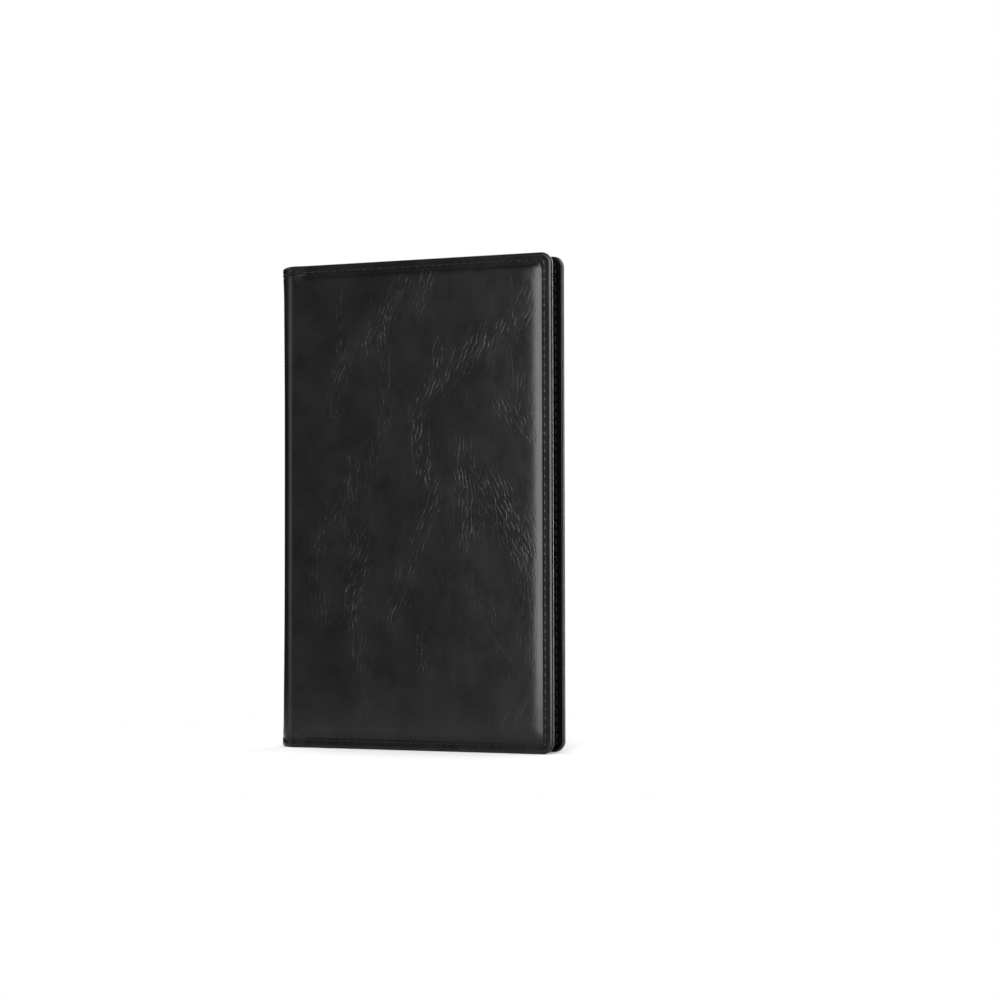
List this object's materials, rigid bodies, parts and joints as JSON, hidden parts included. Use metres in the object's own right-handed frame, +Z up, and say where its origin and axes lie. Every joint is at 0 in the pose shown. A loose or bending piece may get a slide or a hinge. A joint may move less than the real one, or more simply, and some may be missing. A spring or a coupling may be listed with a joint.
{
  "type": "tablet case",
  "caption": "Folio case for an 8 inch tablet: two padded leather covers on a soft spine, with a port slot, sound holes and a moulded inner tray.",
  "frame": {"origin": "on the surface that the closed case stands on, below the middle of its width and thickness", "axes": "+Z up along the spine, +X from the spine to the free edge, +Y from the front cover to the back cover"},
  "size_m": [0.134, 0.018, 0.22],
  "materials": {
    "leather": "waxed semi-gloss leather with crease clusters",
    "foam": "thin closed-cell foam",
    "board": "pressed grey board",
    "lining": "brushed microfibre",
    "thread": "twisted thread",
    "adhesive": "clear adhesive sheet",
    "tray": "fine moulded texture",
    "steel": "satin steel",
    "magnet": "nickel plated"
  },
  "bodies": {
    "back_cover": {"back_leather": "leather", "back_foam": "foam", "back_board": "board", "back_lining": "lining", "back_stitching": "thread", "tray_adhesive": "adhesive", "tablet_tray": "tray", "catch_plates": "steel"},
    "spine": {"spine_leather": "leather", "spine_lining": "lining", "spine_stitching": "thread", "back_fold_leather": "leather", "back_fold_lining": "lining", "front_fold_leather": "leather", "front_fold_lining": "lining"},
    "front_cover": {"front_leather": "leather", "front_foam": "foam", "front_board": "board", "front_lining": "lining", "front_stitching": "thread", "closure_magnets": "magnet", "wake_magnet": "magnet"}
  },
  "joints": [
    {"name": "back_hinge", "type": "hinge", "parent": "back_cover", "child": "spine", "pos_m": [-0.06497, 0.00537, 0.11], "axis": [0, 0, -1], "range_deg": [0, 180], "deforming": ["back_fold_leather", "back_fold_lining"]},
    {"name": "front_hinge", "type": "hinge", "parent": "spine", "child": "front_cover", "pos_m": [-0.06497, -0.00697, 0.11], "axis": [0, 0, -1], "range_deg": [0, 180], "deforming": ["front_fold_leather", "front_fold_lining"]}
  ]
}
